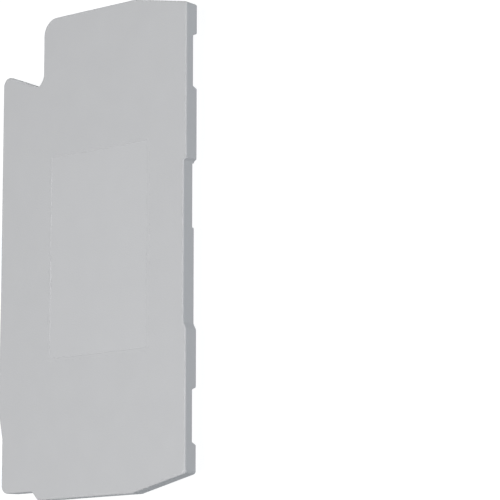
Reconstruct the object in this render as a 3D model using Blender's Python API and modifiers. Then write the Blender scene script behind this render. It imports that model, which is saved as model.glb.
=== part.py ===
"""End cover for a DIN rail terminal block: one moulding of grey polyamide.

The cover lies on its locating pegs with its outer face up. X runs along its length, from the
head end, which has the corner notch, to the tail end. Y runs across it, from the rail edge to
the top edge. The origin is under the middle of the plate, level with the tips of the pegs.
All sizes are in metres.
"""
import math

import bmesh
import bpy

# The plate
LENGTH = 0.060
WIDTH = 0.0312
THICKNESS = 0.0020
PANEL_WALL = 0.00134
RIM_WALL = 0.0012
FACE_EDGE_RADIUS = 0.00015

# Sloped corners at the two ends of the top edge
HEAD_SLOPE_ALONG = 0.00165
TAIL_SLOPE_ALONG = 0.0019
SLOPE_ACROSS = 0.0085
HEAD_SLOPE_RADIUS = 0.0004
TAIL_SLOPE_RADIUS = 0.0010
END_SLOPE_RADIUS = 0.0004

# Long shallow recess in the top edge
RECESS_FROM_HEAD = 0.0207
RECESS_LENGTH = 0.02035
RECESS_DEPTH = 0.0004
RECESS_HEAD_RAMP = 0.00025
RECESS_TAIL_RAMP = 0.0007

# Notch that takes the corner off the head end of the rail edge
NOTCH_ACROSS = 0.0072
NOTCH_ALONG = 0.0084
NOTCH_MOUTH_RADIUS = 0.0021
NOTCH_ROOT_CUT = 0.00085
NOTCH_ROOT_RADIUS = 0.0017
LOBE_RISE = 0.00245
LOBE_RADIUS = 0.00105

# Rail edge: a slight swell, then a set back stretch up to the tail end
SWELL = 0.0001
SWELL_LENGTH = 0.0038
SWELL_RAMP = 0.0108
SET_BACK = 0.0007
SET_BACK_LENGTH = 0.0079
SET_BACK_RAMP = 0.0035
RAIL_EDGE_RADIUS = 0.0020
TAIL_CORNER_RADIUS = 0.00105

# Small step in the tail end
STEP_DEPTH = 0.0011
STEP_ACROSS = 0.0060
STEP_RUN = 0.0010

# Gaps with slanted ends in the back rim along the top edge, and the lower stretch where the recess begins
RIM_GAP_FROM_END = 0.0087
RIM_GAP_WIDTH = 0.0069
RIM_GAP_SLANT = 0.00042
LOW_RIM_LENGTH = 0.0080
LOW_RIM_DROP = 0.00028

# Shallow field on the outer face
FIELD_LENGTH = 0.0252
FIELD_WIDTH = 0.0162
FIELD_FROM_HEAD = 0.0177
FIELD_FROM_RAIL = 0.0088
FIELD_DEPTH = 0.00005
FIELD_CORNER_RADIUS = 0.0002

# Locating pegs on the back
PEG_DIAMETER = 0.0024
PEG_REACH = 0.0024
PEG_LEAD = 0.0004
PEG_SPACING = 0.0360
RAIL_PEG_FROM_RAIL = 0.0075
TOP_PEG_FROM_TOP = 0.0070

# Facets
ARC_STEP = math.radians(10)
EDGE_SEGMENTS = 3
PEG_SEGMENTS = 32

# How far a cutter runs past the surface that it opens
CUT_MARGIN = 0.0005
WELD = 0.000001
FLAT_ANGLE = math.radians(0.1)

POLYAMIDE_GREY = (0.533, 0.539, 0.552, 1.0)
POLYAMIDE_ROUGHNESS = 0.55

# Places worked out from the sizes above
HEAD = -LENGTH / 2
TAIL = LENGTH / 2
RAIL = -WIDTH / 2
TOP = WIDTH / 2
SEAT_Z = PEG_REACH
FACE_Z = SEAT_Z + THICKNESS
WALL_BACK_Z = FACE_Z - PANEL_WALL


def plate_corners():
    """Corners of the plate as (x, y, radius), counterclockwise seen from the outer face."""
    lobe_tip = HEAD + NOTCH_ALONG - LOBE_RISE
    rail_line = RAIL + SWELL
    set_back_line = RAIL + SET_BACK
    tail_step = TAIL - STEP_DEPTH
    set_back_start = TAIL - SET_BACK_LENGTH
    swell_end = set_back_start - SET_BACK_RAMP
    swell_start = swell_end - SWELL_LENGTH
    recess_start = HEAD + RECESS_FROM_HEAD
    recess_end = recess_start + RECESS_LENGTH
    notch_wall = RAIL + NOTCH_ACROSS
    return [
        (lobe_tip, rail_line, LOBE_RADIUS),
        (swell_start - SWELL_RAMP, rail_line, RAIL_EDGE_RADIUS),
        (swell_start, RAIL, RAIL_EDGE_RADIUS),
        (swell_end, RAIL, RAIL_EDGE_RADIUS),
        (set_back_start, set_back_line, RAIL_EDGE_RADIUS),
        (tail_step, set_back_line, TAIL_CORNER_RADIUS),
        (tail_step, RAIL + STEP_ACROSS, 0.0),
        (TAIL, RAIL + STEP_ACROSS + STEP_RUN, 0.0),
        (TAIL, TOP - SLOPE_ACROSS, END_SLOPE_RADIUS),
        (TAIL - TAIL_SLOPE_ALONG, TOP, TAIL_SLOPE_RADIUS),
        (recess_end, TOP, 0.0),
        (recess_end - RECESS_TAIL_RAMP, TOP - RECESS_DEPTH, 0.0),
        (recess_start + RECESS_HEAD_RAMP, TOP - RECESS_DEPTH, 0.0),
        (recess_start, TOP, 0.0),
        (HEAD + HEAD_SLOPE_ALONG, TOP, HEAD_SLOPE_RADIUS),
        (HEAD, TOP - SLOPE_ACROSS, END_SLOPE_RADIUS),
        (HEAD, notch_wall, NOTCH_MOUTH_RADIUS),
        (HEAD + NOTCH_ALONG - NOTCH_ROOT_CUT, notch_wall, NOTCH_ROOT_RADIUS),
        (HEAD + NOTCH_ALONG, notch_wall - NOTCH_ROOT_CUT, 0.0),
    ]


def turn_at(before, here, after):
    """Unit direction into a corner, and the signed angle turned there."""
    ax, ay = here[0] - before[0], here[1] - before[1]
    bx, by = after[0] - here[0], after[1] - here[1]
    length = math.hypot(ax, ay)
    return (ax / length, ay / length), math.atan2(ax * by - ay * bx, ax * bx + ay * by)


def inset_corners(corners, inset):
    """The same corners with every edge moved inwards, and the radii changed to match."""
    moved = []
    for i, here in enumerate(corners):
        (ax, ay), turn = turn_at(corners[i - 1], here, corners[(i + 1) % len(corners)])
        slide = inset * math.tan(turn / 2)
        x = here[0] - inset * ay - slide * ax
        y = here[1] + inset * ax - slide * ay
        radius = here[2] - math.copysign(inset, turn)
        moved.append((x, y, max(radius, 0.0)))
    return moved


def rounded(corners):
    """Points of the outline: each corner with a radius becomes an arc tangent to both its edges."""
    points = []
    for i, here in enumerate(corners):
        x, y, radius = here
        into, turn = turn_at(corners[i - 1], here, corners[(i + 1) % len(corners)])
        if radius == 0.0:
            points.append((x, y))
            continue
        tangent = radius * abs(math.tan(turn / 2))
        side = math.copysign(1.0, turn)
        start_x, start_y = x - tangent * into[0], y - tangent * into[1]
        centre_x = start_x - side * radius * into[1]
        centre_y = start_y + side * radius * into[0]
        first = math.atan2(start_y - centre_y, start_x - centre_x)
        steps = max(2, math.ceil(abs(turn) / ARC_STEP))
        for k in range(steps + 1):
            angle = first + turn * k / steps
            points.append((centre_x + radius * math.cos(angle), centre_y + radius * math.sin(angle)))
    return points


def slab(name, points, low, high, collection):
    """A flat closed outline as a 2D curve, given its thickness and made a welded mesh object."""
    curve = bpy.data.curves.new(name + "_outline", "CURVE")
    curve.dimensions = "2D"
    curve.fill_mode = "BOTH"
    curve.extrude = (high - low) / 2
    spline = curve.splines.new("POLY")
    spline.points.add(len(points) - 1)
    for point, (x, y) in zip(spline.points, points):
        point.co = (x, y, 0.0, 1.0)
    spline.use_cyclic_u = True
    drawn = bpy.data.objects.new(name + "_outline", curve)
    drawn.location.z = (low + high) / 2
    collection.objects.link(drawn)
    bpy.context.view_layer.update()
    evaluated = drawn.evaluated_get(bpy.context.evaluated_depsgraph_get())
    mesh = bpy.data.meshes.new_from_object(evaluated)
    mesh.name = name
    body = bpy.data.objects.new(name, mesh)
    body.matrix_world = drawn.matrix_world
    collection.objects.link(body)
    bpy.data.objects.remove(drawn)
    weld(mesh)
    return body


def weld(mesh):
    """Joins the caps to the walls, makes each cap one face and turns every face outwards."""
    work = bmesh.new()
    work.from_mesh(mesh)
    bmesh.ops.remove_doubles(work, verts=work.verts, dist=WELD)
    bmesh.ops.dissolve_limit(work, angle_limit=FLAT_ANGLE, verts=work.verts, edges=work.edges)
    bmesh.ops.recalc_face_normals(work, faces=work.faces)
    work.to_mesh(mesh)
    work.free()


def block(name, x, y, z, slant, collection):
    """A box between two values along each axis, whose ends lean inwards by the slant on the way up."""
    mesh = bpy.data.meshes.new(name)
    work = bmesh.new()
    bmesh.ops.create_cube(work, size=1.0)
    for vert in work.verts:
        lean = slant if vert.co.z > 0 else 0.0
        vert.co.x = x[1] - lean if vert.co.x > 0 else x[0] + lean
        vert.co.y = y[1] if vert.co.y > 0 else y[0]
        vert.co.z = z[1] if vert.co.z > 0 else z[0]
    work.to_mesh(mesh)
    work.free()
    box = bpy.data.objects.new(name, mesh)
    collection.objects.link(box)
    return box


def peg(name, x, y, collection):
    """A round peg with a tapered lead at its tip, rooted inside the wall of the plate."""
    root = WALL_BACK_Z + PANEL_WALL / 2
    mesh = bpy.data.meshes.new(name)
    work = bmesh.new()
    bmesh.ops.create_cone(
        work,
        cap_ends=True,
        segments=PEG_SEGMENTS,
        radius1=PEG_DIAMETER / 2,
        radius2=PEG_DIAMETER / 2,
        depth=root,
    )
    tip_edges = [e for e in work.edges if all(v.co.z < 0 for v in e.verts)]
    bmesh.ops.bevel(work, geom=tip_edges, offset=PEG_LEAD, segments=1, affect="EDGES")
    work.to_mesh(mesh)
    work.free()
    body = bpy.data.objects.new(name, mesh)
    body.location = (x, y, root / 2)
    collection.objects.link(body)
    return body


def boolean(target, tool, operation):
    """Adds an exact boolean that joins or cuts the tool."""
    modifier = target.modifiers.new(tool.name, "BOOLEAN")
    modifier.operation = operation
    modifier.solver = "EXACT"
    modifier.object = tool
    tool.hide_render = True
    tool.display_type = "WIRE"


def round_face_edge(body):
    """Marks the outline of the outer face and gives it a small radius."""
    mesh = body.data
    weights = mesh.attributes.new("bevel_weight_edge", "FLOAT", "EDGE")
    top = max(vertex.co.z for vertex in mesh.vertices)
    faces_on_top = {}
    for polygon in mesh.polygons:
        flat = all(abs(mesh.vertices[i].co.z - top) < WELD for i in polygon.vertices)
        for key in polygon.edge_keys:
            faces_on_top.setdefault(key, []).append(flat)
    for edge in mesh.edges:
        weights.data[edge.index].value = 1.0 if sorted(faces_on_top[edge.key]) == [False, True] else 0.0
    bevel = body.modifiers.new("face_edge", "BEVEL")
    bevel.limit_method = "WEIGHT"
    bevel.width = FACE_EDGE_RADIUS
    bevel.segments = EDGE_SEGMENTS
    bevel.use_clamp_overlap = False


def polyamide():
    """Moulded grey polyamide."""
    material = bpy.data.materials.new("grey_polyamide")
    material.use_nodes = True
    shader = material.node_tree.nodes["Principled BSDF"]
    shader.inputs["Base Color"].default_value = POLYAMIDE_GREY
    shader.inputs["Roughness"].default_value = POLYAMIDE_ROUGHNESS
    shader.inputs["Metallic"].default_value = 0.0
    return material


def field_outline():
    """Outline of the shallow field on the outer face."""
    x0, y0 = HEAD + FIELD_FROM_HEAD, RAIL + FIELD_FROM_RAIL
    x1, y1 = x0 + FIELD_LENGTH, y0 + FIELD_WIDTH
    return rounded([(x, y, FIELD_CORNER_RADIUS) for x, y in ((x0, y0), (x1, y0), (x1, y1), (x0, y1))])


def cut_back(cover, cutters):
    """Hollows the back inside the rim and opens the rim where neighbours need room."""
    hollow = rounded(inset_corners(plate_corners(), RIM_WALL))
    boolean(cover, slab("back_hollow", hollow, SEAT_Z - CUT_MARGIN, WALL_BACK_Z, cutters), "DIFFERENCE")
    across = (TOP - RECESS_DEPTH - RIM_WALL - CUT_MARGIN, TOP + CUT_MARGIN)
    gap_depth = (SEAT_Z - CUT_MARGIN, WALL_BACK_Z)
    lean = RIM_GAP_SLANT / (WALL_BACK_Z - SEAT_Z)
    half_mouth = RIM_GAP_WIDTH / 2 + lean * CUT_MARGIN
    slant = RIM_GAP_SLANT + lean * CUT_MARGIN
    for name, middle in (("head_gap", HEAD + RIM_GAP_FROM_END), ("tail_gap", TAIL - RIM_GAP_FROM_END)):
        along = (middle - half_mouth, middle + half_mouth)
        boolean(cover, block(name, along, across, gap_depth, slant, cutters), "DIFFERENCE")
    low_start = HEAD + RECESS_FROM_HEAD + RECESS_HEAD_RAMP
    low_depth = (SEAT_Z - CUT_MARGIN, SEAT_Z + LOW_RIM_DROP)
    low = block("low_rim", (low_start, low_start + LOW_RIM_LENGTH), across, low_depth, 0.0, cutters)
    boolean(cover, low, "DIFFERENCE")


def add_pegs(cover, cutters):
    """Joins the three locating pegs to the back."""
    places = (
        ("head_peg", -PEG_SPACING / 2, RAIL + RAIL_PEG_FROM_RAIL),
        ("tail_peg", PEG_SPACING / 2, RAIL + RAIL_PEG_FROM_RAIL),
        ("top_peg", 0.0, TOP - TOP_PEG_FROM_TOP),
    )
    for name, x, y in places:
        boolean(cover, peg(name, x, y, cutters), "UNION")


def main():
    """Builds the end cover."""
    for old in list(bpy.data.objects):
        bpy.data.objects.remove(old, do_unlink=True)
    parts = bpy.data.collections.new("terminal_block_end_cover")
    cutters = bpy.data.collections.new("cutters")
    bpy.context.scene.collection.children.link(parts)
    bpy.context.scene.collection.children.link(cutters)

    cover = slab("end_cover", rounded(plate_corners()), SEAT_Z, FACE_Z, parts)
    cover.data.materials.append(polyamide())
    round_face_edge(cover)
    field = slab("field", field_outline(), FACE_Z - FIELD_DEPTH, FACE_Z + CUT_MARGIN, cutters)
    boolean(cover, field, "DIFFERENCE")
    cut_back(cover, cutters)
    add_pegs(cover, cutters)


main()
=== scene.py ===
"""Dressed scene of a terminal block end cover.

The cover is one moulding of grey polyamide with a fine spark-eroded texture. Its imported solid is
the fixed frame, and the visible skin is worked out here as smooth surfaces of the same size, with
the draft, radii and fillets that a moulding tool gives. X runs along the cover from the head end
to the tail end, Y from the rail edge to the top edge, and Z out of the outer face. Sizes are in
millimetres up to the point where a mesh is made, and in metres from there on.
"""
from __future__ import annotations

import logging
import math
from dataclasses import dataclass, field
from enum import Enum
from typing import Any

import bpy
import numpy as np
from mathutils import Matrix, Vector
from mathutils.geometry import delaunay_2d_cdt

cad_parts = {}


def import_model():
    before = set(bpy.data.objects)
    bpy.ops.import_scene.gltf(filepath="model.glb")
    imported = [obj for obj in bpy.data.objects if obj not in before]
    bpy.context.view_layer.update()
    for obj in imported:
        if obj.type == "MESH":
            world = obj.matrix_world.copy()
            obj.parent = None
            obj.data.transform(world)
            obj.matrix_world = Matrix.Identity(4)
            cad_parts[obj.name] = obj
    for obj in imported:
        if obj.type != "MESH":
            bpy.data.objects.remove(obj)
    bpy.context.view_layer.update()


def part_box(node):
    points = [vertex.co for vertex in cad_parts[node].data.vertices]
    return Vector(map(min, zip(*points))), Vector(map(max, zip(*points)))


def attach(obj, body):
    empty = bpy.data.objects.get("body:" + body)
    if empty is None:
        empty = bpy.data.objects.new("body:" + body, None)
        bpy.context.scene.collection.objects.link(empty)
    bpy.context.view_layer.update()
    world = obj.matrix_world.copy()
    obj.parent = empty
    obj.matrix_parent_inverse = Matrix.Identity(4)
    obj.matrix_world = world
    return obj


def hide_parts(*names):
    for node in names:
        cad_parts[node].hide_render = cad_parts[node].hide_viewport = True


LOG = logging.getLogger("end_cover_scene")
MM = 0.001
IMAGE_PIXELS = 500
SENSOR_MM = 36.0
WHITE = "#FFFFFF"

# Name of the mesh attribute that says how much each point is painted towards a paler grey: a painted
# highlight on the sunk field's slope and a paler tone on the field's floor
PALE_TONE_AND_HIGHLIGHT = "pale_tone_and_painted_highlight"

# Width in millimetres of the flat strip that keeps the shading level beside a rounded edge
FLAT_MARGIN = 0.12

# Faces along a quarter round, on the face's edge, on the pegs, and on every finer edge and fillet
FACE_EDGE_STEPS = 8
PEG_STEPS = 6
FINE_STEPS = 4

# Sockets of a Mix node that mixes colours
MIX_FROM, MIX_TO, MIX_RESULT = 6, 7, 2

# Weight of the shading modifier at which large faces count most and 50 would be even
FAVOUR_LARGE_FACES = 100

# Triangulation: keep what lies inside the outline, and join points closer than this many millimetres
FILL_INSIDE = 2
JOIN_DISTANCE = 1e-7


class Facing(Enum):
    """Which way the faces of a swept surface look."""

    AS_WOUND = 1
    TURNED = -1


def linear_rgba(code: str) -> tuple[float, float, float, float]:
    """Turns an sRGB hex colour into linear light.

    Args:
        code: six hex digits after a hash sign.

    Returns:
        Red, green, blue and an alpha of one.
    """
    channels = np.array([int(code[i : i + 2], 16) for i in (1, 3, 5)]) / 255.0
    linear = np.where(channels <= 0.04045, channels / 12.92, ((channels + 0.055) / 1.055) ** 2.4)
    return (float(linear[0]), float(linear[1]), float(linear[2]), 1.0)


def add_node(
    tree: bpy.types.NodeTree,
    kind: str,
    settings: dict[str, Any] | None = None,
    inputs: dict[str | int, Any] | None = None,
) -> bpy.types.Node:
    """Adds a node with its settings, its values and its links.

    Args:
        tree: the node tree to add to.
        kind: the node's type name.
        settings: properties of the node itself.
        inputs: values for its sockets, or the output sockets that feed them.

    Returns:
        The new node.
    """
    node = tree.nodes.new(kind)
    for name, value in (settings or {}).items():
        setattr(node, name, value)
    for name, value in (inputs or {}).items():
        if isinstance(value, bpy.types.NodeSocket):
            tree.links.new(value, node.inputs[name])
        else:
            node.inputs[name].default_value = value
    return node


def empty_material(name: str) -> tuple[bpy.types.Material, bpy.types.NodeTree]:
    """Makes a node material and clears its tree."""
    material = bpy.data.materials.new(name)
    material.use_nodes = True
    material.node_tree.nodes.clear()
    return material, material.node_tree


def seen_rays(tree: bpy.types.NodeTree) -> bpy.types.NodeSocket:
    """Gives 1 to the rays that see the white studio: straight, mirrored or through glass."""
    path = add_node(tree, "ShaderNodeLightPath").outputs
    seen = path["Is Camera Ray"]
    for name in ("Is Glossy Ray", "Is Transmission Ray"):
        either = add_node(tree, "ShaderNodeMath", {"operation": "MAXIMUM"}, {0: seen, 1: path[name]})
        seen = either.outputs["Value"]
    return seen


def smooth_step(value: np.ndarray) -> np.ndarray:
    """Goes from 0 to 1 as 3t squared minus 2t cubed, and stays flat outside that range."""
    t = np.clip(value, 0.0, 1.0)
    return t * t * (3.0 - 2.0 * t)


@dataclass(frozen=True)
class MouldedPolyamide:
    """Grey polyamide 6.6 from a spark-eroded mould: even and dull, finely grained, faintly mottled.

    Where the mesh attribute asks for it, the colour is mixed towards a paler grey: a painted highlight on
    the sunk field's slope and a paler tone on the field's floor.
    """

    mottle_dark: str = "#C1C2C4"
    mottle_light: str = "#C3C4C6"
    # Paler grey for the painted highlight on the field's slope and the paler tone on the field's floor
    pale_tone_and_highlight_grey: str = "#D0D1D3"
    roughness: float = 0.70
    roughness_swing: float = 0.05
    ior: float = 1.53
    grain_mm: float = 0.22
    grain_depth_mm: float = 0.012
    fine_grain_mm: float = 0.09
    fine_grain_depth_mm: float = 0.004
    grain_detail: float = 2.0
    mottle_mm: float = 3.5
    mottle_detail: float = 4.0
    mottle_span: tuple[float, float] = (0.3, 0.7)
    noise_roughness: float = 0.55

    def material(self) -> bpy.types.Material:
        """Builds the material.

        The real grain is about 0.03 mm, finer than a pixel, so it is drawn at 0.09 and 0.22 mm,
        where it shows as the faint speckle of the photographed surface.

        Returns:
            The finished material.
        """
        material, tree = empty_material("moulded_grey_polyamide")
        place = add_node(tree, "ShaderNodeTexCoord").outputs["Object"]
        in_mm = add_node(
            tree, "ShaderNodeMapping", inputs={"Vector": place, "Scale": (1 / MM, 1 / MM, 1 / MM)}
        ).outputs["Vector"]
        mottle = self.noise(tree, in_mm, self.mottle_mm, self.mottle_detail)
        tint = add_node(tree, "ShaderNodeValToRGB", inputs={"Fac": mottle})
        low, high = tint.color_ramp.elements
        low.position, high.position = self.mottle_span
        low.color, high.color = linear_rgba(self.mottle_dark), linear_rgba(self.mottle_light)
        # The mesh attribute mixes in the paler grey: painted highlight on the field's slope, paler tone
        # on its floor
        pale_tone_and_painted_highlight = add_node(tree, "ShaderNodeAttribute", {"attribute_name": PALE_TONE_AND_HIGHLIGHT}).outputs["Fac"]
        tone = add_node(
            tree,
            "ShaderNodeMix",
            {"data_type": "RGBA"},
            {"Factor": pale_tone_and_painted_highlight, MIX_FROM: tint.outputs["Color"], MIX_TO: linear_rgba(self.pale_tone_and_highlight_grey)},
        )
        dullness = add_node(
            tree,
            "ShaderNodeMapRange",
            inputs={
                "Value": self.noise(tree, in_mm, self.grain_mm * 2, self.grain_detail),
                "To Min": self.roughness - self.roughness_swing,
                "To Max": self.roughness + self.roughness_swing,
            },
        )
        coarse = self.bump(tree, in_mm, self.grain_mm, self.grain_depth_mm, None)
        fine = self.bump(tree, in_mm, self.fine_grain_mm, self.fine_grain_depth_mm, coarse)
        shader = add_node(
            tree,
            "ShaderNodeBsdfPrincipled",
            inputs={
                "Base Color": tone.outputs[MIX_RESULT],
                "Roughness": dullness.outputs["Result"],
                "IOR": self.ior,
                "Normal": fine,
            },
        )
        add_node(tree, "ShaderNodeOutputMaterial", inputs={"Surface": shader.outputs["BSDF"]})
        return material

    def noise(
        self, tree: bpy.types.NodeTree, place: bpy.types.NodeSocket, size_mm: float, detail: float
    ) -> bpy.types.NodeSocket:
        """Adds a noise whose blotches are about the given size, and returns its value."""
        node = add_node(
            tree,
            "ShaderNodeTexNoise",
            inputs={
                "Vector": place,
                "Scale": 1.0 / size_mm,
                "Detail": detail,
                "Roughness": self.noise_roughness,
            },
        )
        return node.outputs["Fac"]

    def bump(
        self,
        tree: bpy.types.NodeTree,
        place: bpy.types.NodeSocket,
        size_mm: float,
        depth_mm: float,
        below: bpy.types.NodeSocket | None,
    ) -> bpy.types.NodeSocket:
        """Adds one layer of grain.

        Args:
            tree: the material's tree.
            place: object coordinates in millimetres.
            size_mm: width of a grain.
            depth_mm: height of a grain.
            below: the normal that this layer adds to, or None for the plain surface.

        Returns:
            The bumped normal.
        """
        inputs: dict[str | int, Any] = {
            "Height": self.noise(tree, place, size_mm, self.grain_detail),
            "Distance": depth_mm * MM,
            "Strength": 1.0,
        }
        if below is not None:
            inputs["Normal"] = below
        return add_node(tree, "ShaderNodeBump", inputs=inputs).outputs["Normal"]


@dataclass(frozen=True)
class StudioPaper:
    """Matt paper on a light table, which lights the part's sides and back softly.

    The eye sees it as plain white from above, and sees through it from below.
    """

    bounce: str = "#505050"
    seen: str = "#F4F4F4"
    under_tint: str = "#F0F8FF"
    under_glow: float = 0.585
    glow_share: float = 0.85
    glow_strength: float = 1.03

    def material(self) -> bpy.types.Material:
        """Builds the paper, which the eye sees partly as plain white light and partly as lit paper.

        Returns:
            The finished material.
        """
        material, tree = empty_material("white_studio_paper")
        seen = seen_rays(tree)
        camera = add_node(tree, "ShaderNodeLightPath").outputs["Is Camera Ray"]
        tone = add_node(
            tree,
            "ShaderNodeMix",
            {"data_type": "RGBA"},
            {"Factor": camera, MIX_FROM: linear_rgba(self.bounce), MIX_TO: linear_rgba(self.seen)},
        )
        paper = add_node(tree, "ShaderNodeBsdfDiffuse", inputs={"Color": tone.outputs[MIX_RESULT]})
        table = add_node(
            tree,
            "ShaderNodeEmission",
            inputs={"Strength": self.under_glow, "Color": linear_rgba(self.under_tint)},
        )
        lit = add_node(
            tree, "ShaderNodeAddShader", inputs={0: paper.outputs["BSDF"], 1: table.outputs["Emission"]}
        )
        glow = add_node(tree, "ShaderNodeEmission", inputs={"Strength": self.glow_strength})
        share = add_node(tree, "ShaderNodeMath", {"operation": "MULTIPLY"}, {0: seen, 1: self.glow_share})
        mixed = add_node(
            tree,
            "ShaderNodeMixShader",
            inputs={0: share.outputs["Value"], 1: lit.outputs["Shader"], 2: glow.outputs["Emission"]},
        )
        beneath = add_node(tree, "ShaderNodeNewGeometry").outputs["Backfacing"]
        clear = add_node(tree, "ShaderNodeBsdfTransparent").outputs["BSDF"]
        one_sided = add_node(
            tree, "ShaderNodeMixShader", inputs={0: beneath, 1: mixed.outputs["Shader"], 2: clear}
        )
        add_node(tree, "ShaderNodeOutputMaterial", inputs={"Surface": one_sided.outputs["Shader"]})
        return material


@dataclass
class Skin:
    """A closed skin gathered from swept rings and flat fills, in millimetres."""

    points: list[np.ndarray] = field(default_factory=list)
    # Per point: how much paler grey is painted in, as painted highlight or paler tone
    pale_tone_and_painted_highlight: list[np.ndarray] = field(default_factory=list)
    polygons: list[np.ndarray] = field(default_factory=list)
    count: int = 0

    def sweep(self, rings: np.ndarray, facing: Facing, pale_tone_and_painted_highlight: np.ndarray | None = None) -> np.ndarray:
        """Joins closed rings, one below the other, into a band of four-sided faces.

        Args:
            rings: rows by columns by three; a row is one ring, counterclockwise from above.
            facing: AS_WOUND where the band faces away from its axis on the way down.
            pale_tone_and_painted_highlight: how much each row is painted towards the paler grey, from 0
                to 1, which gives a painted highlight or a paler tone, or None for a plain band.

        Returns:
            The point numbers, rows by columns.
        """
        rows, columns = rings.shape[:2]
        numbers = self.count + np.arange(rows * columns).reshape(rows, columns)
        self.points.append(rings.reshape(-1, 3))
        self.pale_tone_and_painted_highlight.append(np.repeat(np.zeros(rows) if pale_tone_and_painted_highlight is None else pale_tone_and_painted_highlight, columns))
        self.count += rows * columns
        after = np.roll(numbers, -1, axis=1)
        quads = np.stack([numbers[:-1], numbers[1:], after[1:], after[:-1]], axis=-1).reshape(-1, 4)
        self.polygons.append(quads[:, :: facing.value])
        return numbers

    def cap(self, ring: np.ndarray, facing: Facing) -> None:
        """Closes one ring with a flat face, looking up when AS_WOUND."""
        self.polygons.append(ring[None, :: facing.value])

    def fill(self, outline: np.ndarray, holes: list[np.ndarray], facing: Facing) -> None:
        """Fills the flat area between an outline and its holes with triangles.

        The triangles are the constrained Delaunay ones, so they add no points of their own. Every
        hole is convex, so a triangle lies in a hole where its three points are all on that hole.

        Args:
            outline: point numbers of the outer ring.
            holes: point numbers of each ring inside it.
            facing: AS_WOUND for an area that looks up.
        """
        loops = [outline, *holes]
        numbers = np.concatenate(loops)
        owner = np.repeat(np.arange(len(loops)), [len(loop) for loop in loops])
        flat = np.concatenate(self.points)[numbers]
        starts = np.cumsum([0] + [len(loop) for loop in loops[:-1]])
        edges = np.concatenate(
            [
                start + np.stack([np.arange(len(loop)), np.roll(np.arange(len(loop)), -1)], axis=1)
                for start, loop in zip(starts, loops)
            ]
        )
        _, _, faces, sources, _, _ = delaunay_2d_cdt(
            flat[:, :2].tolist(), edges.tolist(), [], FILL_INSIDE, JOIN_DISTANCE
        )
        triangles = np.array(sources)[:, 0][np.array(faces)]
        owners = owner[triangles]
        in_hole = (owners[:, 0] > 0) & (owners[:, :1] == owners).all(axis=1)
        self.polygons.append(numbers[triangles[~in_hole]][:, :: facing.value])

    def mesh(self, name: str) -> bpy.types.Mesh:
        """Writes the skin into a mesh, in metres.

        Args:
            name: the mesh's name.

        Returns:
            The new mesh, shaded smooth.
        """
        points = np.concatenate(self.points) * MM
        sizes = np.concatenate([np.full(len(p), p.shape[1]) for p in self.polygons])
        corners = np.concatenate([p.reshape(-1) for p in self.polygons])
        mesh = bpy.data.meshes.new(name)
        mesh.vertices.add(len(points))
        mesh.vertices.foreach_set("co", points.astype(np.float32).reshape(-1))
        mesh.loops.add(len(corners))
        mesh.loops.foreach_set("vertex_index", corners.astype(np.int32))
        mesh.polygons.add(len(sizes))
        starts = np.concatenate([[0], np.cumsum(sizes)[:-1]])
        mesh.polygons.foreach_set("loop_start", starts.astype(np.int32))
        mesh.polygons.foreach_set("use_smooth", np.ones(len(sizes), bool))
        # Stores per point how much paler grey is painted in: painted highlight on the field's slope,
        # paler tone on its floor
        pale_tone_and_painted_highlight = mesh.attributes.new(PALE_TONE_AND_HIGHLIGHT, "FLOAT", "POINT")
        pale_tone_and_painted_highlight.data.foreach_set("value", np.concatenate(self.pale_tone_and_painted_highlight).astype(np.float32))
        mesh.update(calc_edges=True)
        mesh.validate()
        return mesh


def quarter(steps: int) -> tuple[np.ndarray, np.ndarray]:
    """Sine and cosine over a quarter turn, from 0 to 90 degrees."""
    angle = np.linspace(0.0, math.pi / 2, steps + 1)
    return np.sin(angle), np.cos(angle)


@dataclass
class RoundedLoop:
    """A closed outline of straight edges whose corners are arcs.

    A corner holds x, y, its radius at the top of a wall and its radius at the wall's foot.
    Moving every edge inwards by the same amount keeps each point beside its neighbour on the
    first outline, so outlines of different insets can be joined ring by ring.
    """

    corners: np.ndarray
    stops: dict[int, np.ndarray] = field(default_factory=dict)
    arc_points: int = 11
    least_radius: float = 0.002

    def ring(self, inset: float, depth: float = 0.0) -> np.ndarray:
        """Points of the outline after every edge has moved inwards.

        At a corner that turns by the angle a, the corner point moves by the inset square to the
        edge and by the inset times tan(a/2) along it. Its arc starts radius times tan(a/2)
        before the corner, and turns by a about a centre one radius to the inner side.

        Args:
            inset: how far the edges move, in millimetres.
            depth: 0 at the top of the wall and 1 at its foot.

        Returns:
            An array of points, x and y.
        """
        place = self.corners[:, :2]
        radius = (1.0 - depth) * self.corners[:, 2] + depth * self.corners[:, 3]
        before, after = np.roll(place, 1, axis=0), np.roll(place, -1, axis=0)
        into = (place - before) / np.linalg.norm(place - before, axis=1, keepdims=True)
        out = (after - place) / np.linalg.norm(after - place, axis=1, keepdims=True)
        cross = into[:, 0] * out[:, 1] - into[:, 1] * out[:, 0]
        turn = np.arctan2(cross, (into * out).sum(axis=1))
        inward = np.stack([-into[:, 1], into[:, 0]], axis=1)
        side = np.sign(turn)
        moved = place + inset * inward - inset * np.tan(turn / 2)[:, None] * into
        radius = np.maximum(radius - side * inset, self.least_radius)
        start = moved - (radius * np.abs(np.tan(turn / 2)))[:, None] * into
        centre = start + (side * radius)[:, None] * inward
        first = np.arctan2(*(start - centre).T[::-1])
        angle = first[:, None] + turn[:, None] * np.linspace(0.0, 1.0, self.arc_points)
        circle = np.stack([np.cos(angle), np.sin(angle)], axis=-1)
        arcs = centre[:, None] + radius[:, None, None] * circle
        pieces = []
        for number, arc in enumerate(arcs):
            pieces.append(arc)
            if number in self.stops:
                along = self.stops[number]
                pieces.append(np.stack([along, np.full_like(along, arc[-1, 1])], axis=1))
        return np.concatenate(pieces)

    def on_stops(self) -> np.ndarray:
        """Marks the points that lie on an edge with stops."""
        marks = []
        for number in range(len(self.corners)):
            marks.append(np.zeros(self.arc_points, bool))
            if number in self.stops:
                marks.append(np.ones(len(self.stops[number]), bool))
        return np.concatenate(marks)


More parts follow.
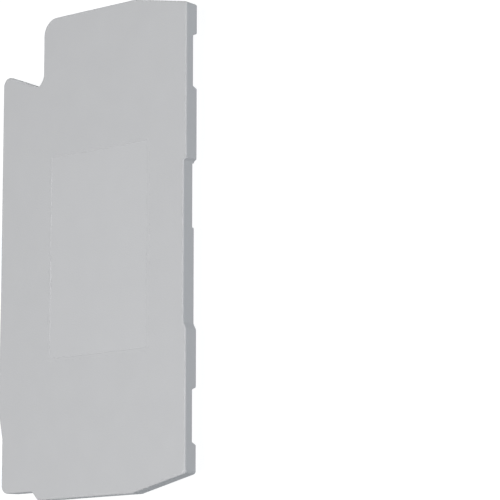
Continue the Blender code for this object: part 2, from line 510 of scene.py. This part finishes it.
@dataclass
class FaceField:
    """The shallow rectangular field sunk into the outer face.

    An insert in the mould forms it, and the joint round the insert leaves a fine raised line.
    """

    length: float = 25.2
    width: float = 16.2
    from_head: float = 17.7
    from_rail: float = 8.8
    depth: float = 0.024
    corner_radius: float = 0.2
    line_height: float = 0.009
    line_run: float = 0.15
    line_top: float = 0.09
    slope: float = 0.045
    floor_fillet: float = 0.02
    # How much paler the field's floor is painted, and how much painted highlight its slope gets
    floor_paleness: float = 0.13
    slope_painted_highlight: float = 0.05
    line_steps: int = 4

    def rings(self, head: float, rail: float, top_z: float) -> np.ndarray:
        """Rings of the field's edge, from the face over the raised line and down to the floor.

        The edge rises by the line's height over its run, stays level over its top, falls along
        a short slope and ends in a quarter-round fillet. It is carried round a rectangle with
        rounded corners.

        Args:
            head: x of the head end.
            rail: y of the rail edge.
            top_z: height of the raised line's top.

        Returns:
            Rows by points by three.
        """
        x0, y0 = head + self.from_head, rail + self.from_rail
        x1, y1 = x0 + self.length, y0 + self.width
        places = np.array([(x0, y0), (x1, y0), (x1, y1), (x0, y1)])
        loop = RoundedLoop(np.column_stack([places, np.full((4, 2), self.corner_radius)]))
        sine, cosine = quarter(FINE_STEPS)
        rise = np.linspace(0.0, 1.0, self.line_steps + 1)
        foot = self.slope + self.floor_fillet
        run = np.concatenate(
            [
                [-self.line_run - self.line_top - FLAT_MARGIN],
                self.line_run * (rise - 1.0) - self.line_top,
                [0.0, self.slope],
                foot - self.floor_fillet * cosine[1:],
                [foot + FLAT_MARGIN],
            ]
        )
        fall = np.concatenate(
            [
                [self.line_height],
                self.line_height * (1.0 - smooth_step(rise)),
                [0.0, self.depth - self.floor_fillet],
                self.depth - self.floor_fillet * (1.0 - sine[1:]),
                [self.depth],
            ]
        )
        rows = []
        for inset, down in zip(run, fall):
            ring = loop.ring(inset)
            rows.append(np.column_stack([ring, np.full(len(ring), top_z - down)]))
        return np.stack(rows)

    def pale_tone_and_painted_highlight(self) -> np.ndarray:
        """How much each ring of the edge is painted towards the paler grey: a little painted highlight on
        the slope, a paler tone on the floor.
        """
        face_rows, slope_rows, floor_rows = self.line_steps + 1, 3, FINE_STEPS + 1
        levels = [0.0, self.slope_painted_highlight, self.floor_paleness]
        return np.repeat(levels, [face_rows, slope_rows, floor_rows])


@dataclass
class LocatingPeg:
    """A plain round peg on the back, with a fillet at its root and a tapered lead at its tip."""

    diameter: float = 2.4
    root_fillet: float = 0.3
    lead: float = 0.4
    lead_break_across: float = 0.02
    lead_break_along: float = 0.03
    lead_rows: int = 4
    tip_round: float = 0.08
    draft: float = 0.03
    columns: int = 64

    def rings(self, x: float, y: float, wall_back: float) -> np.ndarray:
        """Rings of the peg from its root down to its tip, turned about its own axis.

        Args:
            x: place of the axis along the cover.
            y: place of the axis across it.
            wall_back: height of the wall that the peg stands on.

        Returns:
            Rows by points by three.
        """
        sine, cosine = quarter(PEG_STEPS)
        shaft = self.diameter / 2
        lead_top = shaft - self.draft - self.lead_break_across
        tip = shaft - self.lead
        radius = np.concatenate(
            [
                [shaft + self.root_fillet + FLAT_MARGIN],
                shaft + self.root_fillet * (1.0 - sine),
                [shaft - self.draft],
                np.linspace(lead_top, tip + self.tip_round, self.lead_rows),
                tip - self.tip_round * (1.0 - cosine[1:]),
                [tip - self.tip_round - FLAT_MARGIN],
            ]
        )
        height = np.concatenate(
            [
                [wall_back],
                wall_back - self.root_fillet * (1.0 - cosine),
                [self.lead + self.lead_break_along],
                np.linspace(self.lead, self.tip_round, self.lead_rows),
                self.tip_round * (1.0 - sine[1:]),
                [0.0],
            ]
        )
        angle = np.linspace(0.0, 2.0 * math.pi, self.columns, endpoint=False)
        across, along = radius[:, None] * np.stack([np.cos(angle), np.sin(angle)])[:, None, :]
        return np.stack([x + across, y + along, np.broadcast_to(height[:, None], across.shape)], axis=-1)


@dataclass
class EndCover:
    """The whole moulding: plate, back rim, sunk field and pegs, as one closed skin."""

    length: float
    width: float
    height: float
    panel_wall: float = 1.34
    thickness: float = 2.0
    rim_wall: float = 1.2
    face_edge_radius: float = 0.14
    rim_edge_radius: float = 0.1
    floor_fillet: float = 0.2
    side_draft: float = 0.06
    corner_blend: float = 0.25
    head_slope_along: float = 1.65
    tail_slope_along: float = 1.9
    slope_across: float = 8.5
    head_slope_radius: float = 0.4
    tail_slope_radius: float = 1.1
    tail_slope_foot_radius: float = 0.45
    recess_from_head: float = 20.7
    recess_length: float = 20.35
    recess_depth: float = 0.4
    recess_head_ramp: float = 0.25
    recess_tail_ramp: float = 0.7
    recess_tail_radius: float = 0.5
    notch_across: float = 7.2
    notch_along: float = 8.4
    notch_mouth_radius: float = 2.1
    notch_root_cut: float = 0.85
    notch_root_radius: float = 1.7
    lobe_rise: float = 2.45
    lobe_radius: float = 1.05
    swell: float = 0.1
    swell_length: float = 3.8
    swell_ramp: float = 10.8
    set_back: float = 0.7
    set_back_length: float = 7.9
    set_back_ramp: float = 3.5
    rail_edge_radius: float = 2.0
    tail_corner_radius: float = 1.05
    step_depth: float = 1.1
    step_across: float = 6.0
    step_run: float = 1.0
    rim_gap_from_end: float = 8.7
    rim_gap_width: float = 6.9
    low_rim_length: float = 8.0
    low_rim_drop: float = 0.28
    rim_gap_slant: float = 0.42
    low_rim_slant: float = 0.12
    slant_points: int = 13
    crisp_radius: float = 0.1
    peg_spacing: float = 36.0
    rail_peg_from_rail: float = 7.5
    top_peg_from_top: float = 7.0
    face_field: FaceField = field(default_factory=FaceField)
    peg: LocatingPeg = field(default_factory=LocatingPeg)
    finish: MouldedPolyamide = field(default_factory=MouldedPolyamide)

    def __post_init__(self) -> None:
        """Works out the places that follow from the sizes."""
        self.head, self.tail = -self.length / 2, self.length / 2
        self.rail, self.top = -self.width / 2, self.width / 2
        self.face_z = self.height - self.face_field.line_height
        self.seat_z = self.height - self.thickness
        self.wall_back = self.height - self.panel_wall

    def corners(self) -> np.ndarray:
        """Corners of the plate, counterclockwise seen from the outer face.

        Returns:
            Rows of x, y, the radius at the face and the radius at the rim.
        """
        crisp = self.crisp_radius
        notch_wall = self.rail + self.notch_across
        rail_line = self.rail + self.swell
        set_back_line = self.rail + self.set_back
        tail_step = self.tail - self.step_depth
        set_back_start = self.tail - self.set_back_length
        swell_end = set_back_start - self.set_back_ramp
        swell_start = swell_end - self.swell_length
        recess_start = self.head + self.recess_from_head
        recess_end = recess_start + self.recess_length
        recess_line = self.top - self.recess_depth
        corners = np.array(
            [
                (self.head + self.notch_along - self.lobe_rise, rail_line, self.lobe_radius),
                (swell_start - self.swell_ramp, rail_line, self.rail_edge_radius),
                (swell_start, self.rail, self.rail_edge_radius),
                (swell_end, self.rail, self.rail_edge_radius),
                (set_back_start, set_back_line, self.rail_edge_radius),
                (tail_step, set_back_line, self.tail_corner_radius),
                (tail_step, self.rail + self.step_across, crisp),
                (self.tail, self.rail + self.step_across + self.step_run, crisp),
                (self.tail, self.top - self.slope_across, self.head_slope_radius),
                (self.tail - self.tail_slope_along, self.top, self.tail_slope_radius),
                (recess_end, self.top, self.recess_tail_radius),
                (recess_end - self.recess_tail_ramp, recess_line, self.recess_tail_radius),
                (recess_start + self.recess_head_ramp, recess_line, crisp),
                (recess_start, self.top, crisp),
                (self.head + self.head_slope_along, self.top, self.head_slope_radius),
                (self.head, self.top - self.slope_across, self.head_slope_radius),
                (self.head, notch_wall, self.notch_mouth_radius),
                (self.head + self.notch_along - self.notch_root_cut, notch_wall, self.notch_root_radius),
                (self.head + self.notch_along, notch_wall - self.notch_root_cut, crisp / 2),
            ]
        )
        at_face = corners[:, 2]
        at_rim = np.where(at_face == self.tail_slope_radius, self.tail_slope_foot_radius, at_face)
        return np.column_stack([corners, at_rim])

    def rim_steps(self) -> np.ndarray:
        """Stretches of the top edge where the rim is cut back.

        Returns:
            Rows of start, end, how far the rim is cut back, and the length of each slanted end.
        """
        half, deep = self.rim_gap_width / 2, self.wall_back - self.seat_z
        low_start = self.head + self.recess_from_head + self.recess_head_ramp
        low_end = low_start + self.low_rim_length
        steps = [(low_start + self.crisp_radius, low_end, self.low_rim_drop, self.low_rim_slant)]
        for middle in (self.head + self.rim_gap_from_end, self.tail - self.rim_gap_from_end):
            steps.append((middle - half, middle + half, deep, self.rim_gap_slant))
        return np.array(steps)

    def outline(self) -> RoundedLoop:
        """The plate's outline, with extra points beside each change in the rim's height."""
        corners = self.corners()
        start, end, _, slant = self.rim_steps().T[:, :, None]
        spread = np.linspace(0.0, 1.0, self.slant_points)
        places = np.concatenate([start + slant * spread, end - slant * spread])
        stops = {}
        on_top = corners[:, 1] > self.top - self.recess_depth - self.crisp_radius
        for number in range(len(corners) - 1):
            x0, x1 = corners[number, 0], corners[number + 1, 0]
            inside = places[(places.max(axis=1) < x0) & (places.min(axis=1) > x1)]
            if on_top[number] and on_top[number + 1] and len(inside):
                stops[number] = np.sort(inside.reshape(-1))[::-1]
        return RoundedLoop(corners, stops)

    def rim_lift(self, along: np.ndarray) -> np.ndarray:
        """How far the rim's edge is raised at places along the top edge, with smooth slanted ends."""
        start, end, drop, slant = self.rim_steps().T[:, :, None]
        rise = smooth_step((along - start) / slant) * smooth_step((end - along) / slant)
        return (drop * rise).sum(axis=0)

    def section(self) -> tuple[np.ndarray, np.ndarray, int]:
        """The section that is carried round the outline, from the outer face to the hollow's floor.

        It is a quarter round at the face, a wall with draft, two quarter rounds at the rim's
        edges with the flat seat between them, the rim's inner wall and a fillet.

        Returns:
            Inset and height of each row, and the number of the first row inside the rim's edge.
        """
        sine, cosine = quarter(FACE_EDGE_STEPS)
        fine_sine, fine_cosine = quarter(FINE_STEPS)
        face, edge, rim = self.face_edge_radius, self.rim_edge_radius, self.rim_wall
        blend_end = self.face_z - self.corner_blend
        inset = np.concatenate(
            [
                [face + FLAT_MARGIN],
                face * (1.0 - sine),
                [0.0, 0.0],
                self.side_draft + edge * (1.0 - fine_cosine),
                rim - edge * (1.0 - fine_sine),
                rim + self.floor_fillet * (1.0 - fine_cosine),
                [rim + self.floor_fillet + FLAT_MARGIN],
            ]
        )
        height = np.concatenate(
            [
                [self.face_z],
                self.face_z - face * (1.0 - cosine),
                [blend_end, blend_end - FLAT_MARGIN],
                self.seat_z + edge * (1.0 - fine_sine),
                self.seat_z + edge * (1.0 - fine_cosine),
                self.wall_back - self.floor_fillet * (1.0 - fine_sine),
                [self.wall_back],
            ]
        )
        first_inside = 1 + len(sine) + 2 + len(fine_sine)
        return inset, height, first_inside

    def shell_rings(self) -> np.ndarray:
        """Rings of the plate's side, rim and hollow, with the gaps in the rim along the top edge.

        At a gap the two rounded edges of the rim are raised whole, so they keep their radius, and
        the rim's inner wall is cut off at the gap's height.

        Returns:
            Rows by points by three.
        """
        loop = self.outline()
        inset, height, first_inside = self.section()
        depth = np.clip((self.face_z - height) / self.corner_blend, 0.0, 1.0)
        depth[first_inside:] = 1.0
        flat = np.stack([loop.ring(value, down) for value, down in zip(inset, depth)])
        lift = np.where(loop.on_stops(), self.rim_lift(flat[1, :, 0]), 0.0)
        raised = np.broadcast_to(height[:, None], flat.shape[:2]).copy()
        edge_rows = FINE_STEPS + 1
        outer_edge = slice(first_inside - edge_rows, first_inside)
        inner_edge = slice(first_inside, first_inside + edge_rows)
        raised[outer_edge] += lift
        raised[first_inside:] = np.minimum(
            np.maximum(raised[first_inside:], self.seat_z + lift), self.wall_back
        )
        raised[inner_edge] = np.minimum(height[inner_edge, None] + lift, self.wall_back)
        return np.concatenate([flat, raised[..., None]], axis=-1)

    def peg_places(self) -> list[tuple[float, float]]:
        """Where the three pegs stand."""
        rail_line = self.rail + self.rail_peg_from_rail
        return [
            (-self.peg_spacing / 2, rail_line),
            (self.peg_spacing / 2, rail_line),
            (0.0, self.top - self.top_peg_from_top),
        ]

    def build(self) -> bpy.types.Object:
        """Builds and dresses the cover.

        Returns:
            The cover's object, at the origin.
        """
        skin = Skin()
        shell = skin.sweep(self.shell_rings(), Facing.AS_WOUND)
        edge = self.face_field
        # The field's edge carries the painted highlight on its slope and the paler tone on its floor
        sunk = skin.sweep(edge.rings(self.head, self.rail, self.height), Facing.TURNED, edge.pale_tone_and_painted_highlight())
        skin.cap(sunk[-1], Facing.AS_WOUND)
        skin.fill(shell[0], [sunk[0]], Facing.AS_WOUND)
        roots = []
        for x, y in self.peg_places():
            peg = skin.sweep(self.peg.rings(x, y, self.wall_back), Facing.AS_WOUND)
            skin.cap(peg[-1], Facing.TURNED)
            roots.append(peg[0])
        skin.fill(shell[-1], roots, Facing.TURNED)
        mesh = skin.mesh("cover_moulding")
        mesh.materials.append(self.finish.material())
        cover = bpy.data.objects.new("cover_moulding", mesh)
        bpy.context.scene.collection.objects.link(cover)
        shading = cover.modifiers.new("even_shading", "WEIGHTED_NORMAL")
        shading.weight = FAVOUR_LARGE_FACES
        LOG.info("cover_moulding: %d points, %d faces", len(mesh.vertices), len(mesh.polygons))
        return cover


@dataclass(frozen=True)
class SoftBox:
    """A rectangular studio lamp that looks at a point of the cover."""

    name: str
    place: tuple[float, float, float]
    aim: tuple[float, float, float]
    size: tuple[float, float]
    watts: float

    def build(self) -> bpy.types.Object:
        """Makes the lamp.

        Returns:
            The lamp's object.
        """
        light = bpy.data.lights.new(self.name, "AREA")
        light.shape = "RECTANGLE"
        light.size, light.size_y = self.size
        light.energy = self.watts
        lamp = bpy.data.objects.new(self.name, light)
        lamp.location = self.place
        lamp.rotation_mode = "QUATERNION"
        lamp.rotation_quaternion = (Vector(self.aim) - Vector(self.place)).to_track_quat("-Z", "Y")
        bpy.context.scene.collection.objects.link(lamp)
        LOG.info("%s: %.3f W", self.name, self.watts)
        return lamp


@dataclass
class Studio:
    """White paper, an even white surround and soft boxes."""

    paper: StudioPaper = field(default_factory=StudioPaper)
    paper_side: float = 6.0
    paper_gap_mm: float = 0.02
    surround: float = 0.055
    lamps: tuple[SoftBox, ...] = (
        SoftBox("side_soft_box", (-0.134, 0.761, 0.207), (0.0, 0.0, 0.0), (0.40, 0.40), 1.57),
        SoftBox("overhead_soft_box", (0.05, 0.05, 0.34), (0.0, 0.0, 0.0), (0.20, 0.20), 1.05),
    )

    def build(self) -> bpy.types.Object:
        """Lays the paper, lights the surround and sets up the lamps.

        Returns:
            The paper's object.
        """
        paper = self.sheet()
        bpy.context.scene.world = self.world()
        for lamp in self.lamps:
            lamp.build()
        return paper

    def sheet(self) -> bpy.types.Object:
        """Lays a square sheet of paper just under the part."""
        half, below = self.paper_side / 2, -self.paper_gap_mm * MM
        places = [(-half, -half, below), (half, -half, below), (half, half, below), (-half, half, below)]
        mesh = bpy.data.meshes.new("studio_paper")
        mesh.from_pydata(places, [], [(0, 1, 2, 3)])
        mesh.materials.append(self.paper.material())
        paper = bpy.data.objects.new("studio_paper", mesh)
        bpy.context.scene.collection.objects.link(paper)
        return paper

    def world(self) -> bpy.types.World:
        """Makes the surround, which is white to the eye and lights the part only dimly."""
        world = bpy.data.worlds.new("studio_surround")
        world.use_nodes = True
        tree = world.node_tree
        tree.nodes.clear()
        strength = add_node(
            tree,
            "ShaderNodeMapRange",
            inputs={"Value": seen_rays(tree), "To Min": self.surround, "To Max": 1.0},
        )
        sky = add_node(
            tree,
            "ShaderNodeBackground",
            inputs={"Strength": strength.outputs["Result"], "Color": linear_rgba(WHITE)},
        )
        add_node(tree, "ShaderNodeOutputWorld", inputs={"Surface": sky.outputs["Background"]})
        return world


@dataclass
class ProductCamera:
    """A long lens that looks down on the lying cover, rolled so that its length stands upright."""

    focal_pixels: float = 2800.0
    aim: tuple[float, float, float] = (0.002961, 0.025618, 0.0044)
    distance: float = 0.32273
    azimuth: float = 165.347
    elevation: float = 48.202
    roll: float = 78.997
    clip_start: float = 0.01
    clip_end: float = 20.0

    def build(self) -> bpy.types.Object:
        """Makes the camera and gives it to the scene.

        Returns:
            The camera's object.
        """
        data = bpy.data.cameras.new("product_camera")
        data.sensor_width = SENSOR_MM
        data.lens = self.focal_pixels / IMAGE_PIXELS * SENSOR_MM
        data.clip_start, data.clip_end = self.clip_start, self.clip_end
        turn, rise = math.radians(self.azimuth), math.radians(self.elevation)
        back = Vector((math.sin(turn) * math.cos(rise), -math.cos(turn) * math.cos(rise), math.sin(rise)))
        level = (-back).to_track_quat("-Z", "Y").to_matrix()
        rolled = level @ Matrix.Rotation(-math.radians(self.roll), 3, "Z")
        camera = bpy.data.objects.new("product_camera", data)
        place = Matrix.Translation(Vector(self.aim) + back * self.distance)
        camera.matrix_world = place @ rolled.to_4x4()
        bpy.context.scene.collection.objects.link(camera)
        bpy.context.scene.camera = camera
        return camera


def main() -> None:
    """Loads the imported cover, dresses it and sets up the studio."""
    logging.basicConfig(level=logging.INFO, format="%(name)s: %(message)s")
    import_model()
    low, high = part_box("end_cover")
    size = (high - low) / MM
    cover = EndCover(length=size.x, width=size.y, height=size.z).build()
    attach(cover, "root")
    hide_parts("end_cover")
    Studio().build()
    ProductCamera().build()
    bpy.context.scene.view_settings.view_transform = "Standard"


if __name__ == "__main__":
    main()
